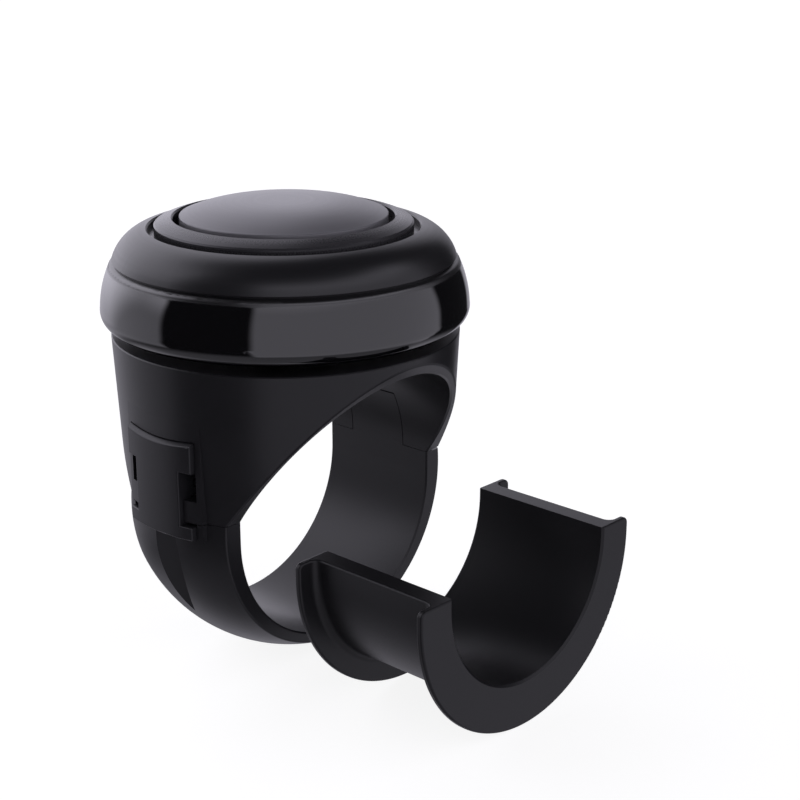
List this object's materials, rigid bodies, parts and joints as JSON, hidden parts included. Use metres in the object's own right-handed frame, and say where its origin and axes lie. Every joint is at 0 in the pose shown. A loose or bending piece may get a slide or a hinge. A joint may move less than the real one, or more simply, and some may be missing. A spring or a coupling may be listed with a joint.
{
  "type": "steering wheel spinner knob",
  "caption": "Round spinner knob that turns on a bearing above a hinged clamp with a sprung latch, for a steering wheel rim, with its loose rim liner.",
  "frame": {"origin": "centre of the half circle that the bore has in the jaw, half way along it", "axes": "+Y along the bore, the line of the wheel rim; +Z from the bore to the knob; +X towards the jaw's hinge"},
  "size_m": [0.058, 0.0776, 0.0738],
  "materials": {
    "cast_housing": "satin charcoal paint",
    "cast_jaw": "satin charcoal paint",
    "cast_latch": "satin charcoal paint",
    "spring_steel": "drawn wire",
    "dark_pin": "black oxide",
    "pin_steel": "ground",
    "turned_steel": "turned",
    "zinc_screw": "zinc plated",
    "bearing_steel": "ground and polished",
    "shield_steel": "pressed sheet",
    "cage_brass": "machined",
    "gloss_black": "high gloss black",
    "satin_cap": "satin dark grey",
    "brushed_ring": "satin anodised grey",
    "brushed_disc": "satin anodised grey",
    "black_plastic": "moulded black",
    "black_liner": "satin black nylon"
  },
  "bodies": {
    "root": {"clamp_housing": "cast_housing", "spindle": "turned_steel", "spindle_screw": "zinc_screw", "retaining_washer": "zinc_screw", "bearing_inner_race": "bearing_steel", "hinge_pin": "pin_steel", "latch_pin": "dark_pin", "latch_spring": "spring_steel", "rim_liner": "black_liner"},
    "head": {"top_disc": "brushed_disc", "top_ring": "brushed_ring", "dome_cap": "satin_cap", "gloss_band": "gloss_black", "base_plate": "black_plastic", "base_screws": "zinc_screw", "bearing_outer_race": "bearing_steel", "bearing_shields": "shield_steel"},
    "ball_cage": {"bearing_cage": "cage_brass", "bearing_balls": "bearing_steel"},
    "jaw": {"lower_jaw": "cast_jaw"},
    "latch": {"latch_lever": "cast_latch"}
  },
  "joints": [
    {"name": "head_spin", "type": "hinge", "parent": "root", "child": "head", "pos_m": [0, 0, 0.0345], "axis": [0, 0, 1], "continuous": true},
    {"name": "cage_spin", "type": "hinge", "parent": "root", "child": "ball_cage", "pos_m": [0, 0, 0.0345], "axis": [0, 0, 1], "continuous": true},
    {"name": "jaw_hinge", "type": "hinge", "parent": "root", "child": "jaw", "pos_m": [0.022, 0, 0.0085], "axis": [0, -1, 0], "range_deg": [0, 65]},
    {"name": "latch_pivot", "type": "hinge", "parent": "root", "child": "latch", "pos_m": [-0.0238, 0, 0.0093], "axis": [0, 1, 0], "range_deg": [0, 22], "stiffness_Nm_per_rad": 0.01, "springref_deg": -11.46, "deforming": ["latch_spring"]}
  ],
  "couplings": [
    {"joint": "cage_spin", "follows": "head_spin", "ratio": 0.632}
  ]
}
